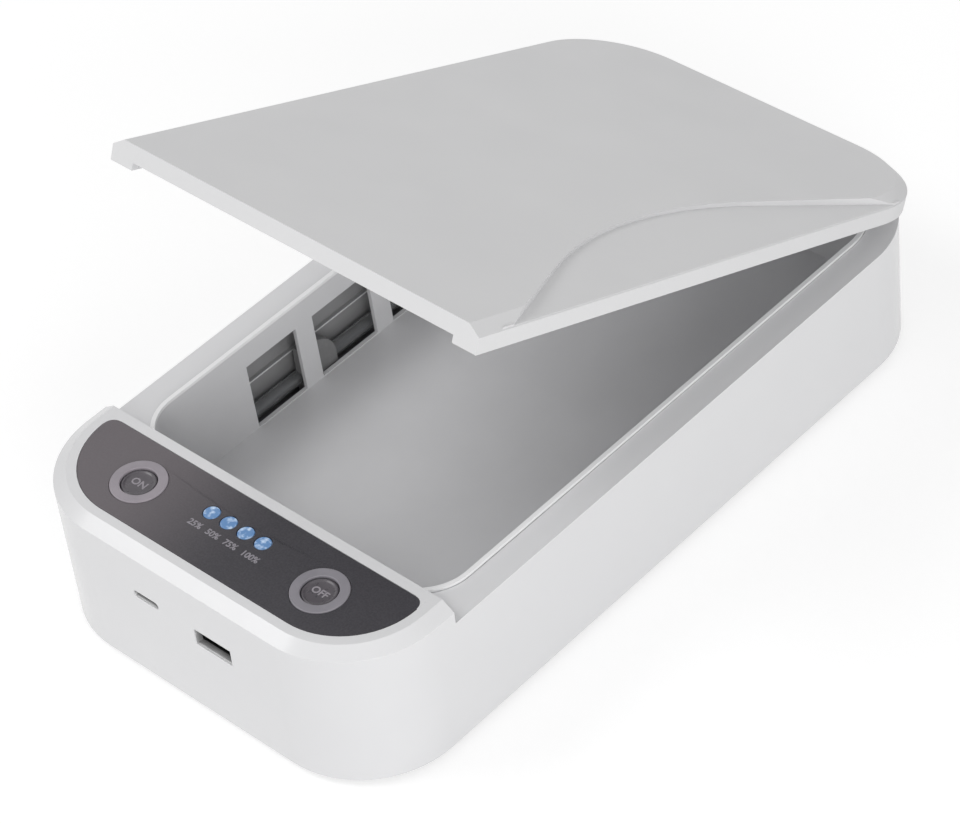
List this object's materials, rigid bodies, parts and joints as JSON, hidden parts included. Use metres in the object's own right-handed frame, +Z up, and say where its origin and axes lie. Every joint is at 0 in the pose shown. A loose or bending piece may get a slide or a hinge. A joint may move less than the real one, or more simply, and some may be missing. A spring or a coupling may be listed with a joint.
{
  "type": "uv sanitizer box for phones",
  "caption": "Oblong white phone steriliser box: hinged lid with a sunk facet, windowed lamp bay, and a front control block with push buttons, status lights and USB sockets.",
  "frame": {"origin": "on the ground under the middle of the box as it stands with its lid open at rest", "axes": "+X to the right of someone facing the control panel, +Y towards the hinge at the rear, +Z up"},
  "size_m": [0.122, 0.231, 0.1208],
  "materials": {
    "case_white": "glossy white moulded ABS with a faint pearl",
    "cover_white": "fine satin texture",
    "tray_white": "semi-gloss light grey white",
    "panel_dark": "smooth dark brown-grey cover",
    "ring_grey": "satin mid grey",
    "button_dark": "smooth dark grey",
    "light_blue": "translucent blue",
    "led_white": "moulded chip",
    "board_green": "solder mask",
    "socket_steel": "tin-plated",
    "tongue_grey": "moulded insert",
    "switch_black": "moulded",
    "plunger_grey": "moulded",
    "lamp_quartz": "clear quartz tube",
    "holder_white": "moulded",
    "reflector_metal": "bright rolled sheet",
    "liner_white": "glossy white",
    "screw_steel": "zinc-plated",
    "magnet_nickel": "nickel-plated",
    "foot_rubber": "matt",
    "core_dark": "potted winding",
    "capacitor_sleeve": "shrink sleeve"
  },
  "bodies": {
    "base": {"base_shell": "case_white", "bottom_cover": "cover_white", "inner_tray": "tray_white", "control_panel": "panel_dark", "led_light_pipe": "light_blue", "status_leds": "led_white", "main_board": "board_green", "reed_switch": "switch_black", "usb_a_socket": "socket_steel", "usb_a_tongue": "tongue_grey", "micro_usb_socket": "socket_steel", "micro_usb_tongue": "tongue_grey", "board_screws": "screw_steel", "ballast_board": "board_green", "ballast_transformer": "core_dark", "ballast_capacitors": "capacitor_sleeve", "ballast_screws": "screw_steel", "case_screws": "screw_steel", "tray_screws": "screw_steel", "hinge_pin_left": "screw_steel", "hinge_pin_right": "screw_steel", "foot_front_left": "foot_rubber", "foot_front_right": "foot_rubber", "foot_rear_left": "foot_rubber", "foot_rear_right": "foot_rubber", "left_ring_guide": "ring_grey", "left_tact_switch": "switch_black", "left_uv_lamp": "lamp_quartz", "left_reflector": "reflector_metal", "left_lamp_holder_front": "holder_white", "left_lamp_clip_front": "holder_white", "left_lamp_holder_rear": "holder_white", "left_lamp_clip_rear": "holder_white", "right_ring_guide": "ring_grey", "right_tact_switch": "switch_black", "right_uv_lamp": "lamp_quartz", "right_reflector": "reflector_metal", "right_lamp_holder_front": "holder_white", "right_lamp_clip_front": "holder_white", "right_lamp_holder_rear": "holder_white", "right_lamp_clip_rear": "holder_white"},
    "lid": {"lid_shell": "case_white", "lid_liner": "liner_white", "lid_magnet": "magnet_nickel", "lid_screws": "screw_steel"},
    "left_button": {"left_button": "button_dark", "left_switch_plunger": "plunger_grey"},
    "right_button": {"right_button": "button_dark", "right_switch_plunger": "plunger_grey"}
  },
  "joints": [
    {"name": "lid_hinge", "type": "hinge", "parent": "base", "child": "lid", "pos_m": [0, 0.10802, 0.0367], "axis": [-1, 0, 0], "range_deg": [-23.2, 46.8]},
    {"name": "left_button_press", "type": "slide", "parent": "base", "child": "left_button", "axis": [0, 0, -1], "range_m": [0, 0.0006], "stiffness_N_per_m": 1500, "springref_m": -0.0004},
    {"name": "right_button_press", "type": "slide", "parent": "base", "child": "right_button", "axis": [0, 0, -1], "range_m": [0, 0.0006], "stiffness_N_per_m": 1500, "springref_m": -0.0004}
  ]
}
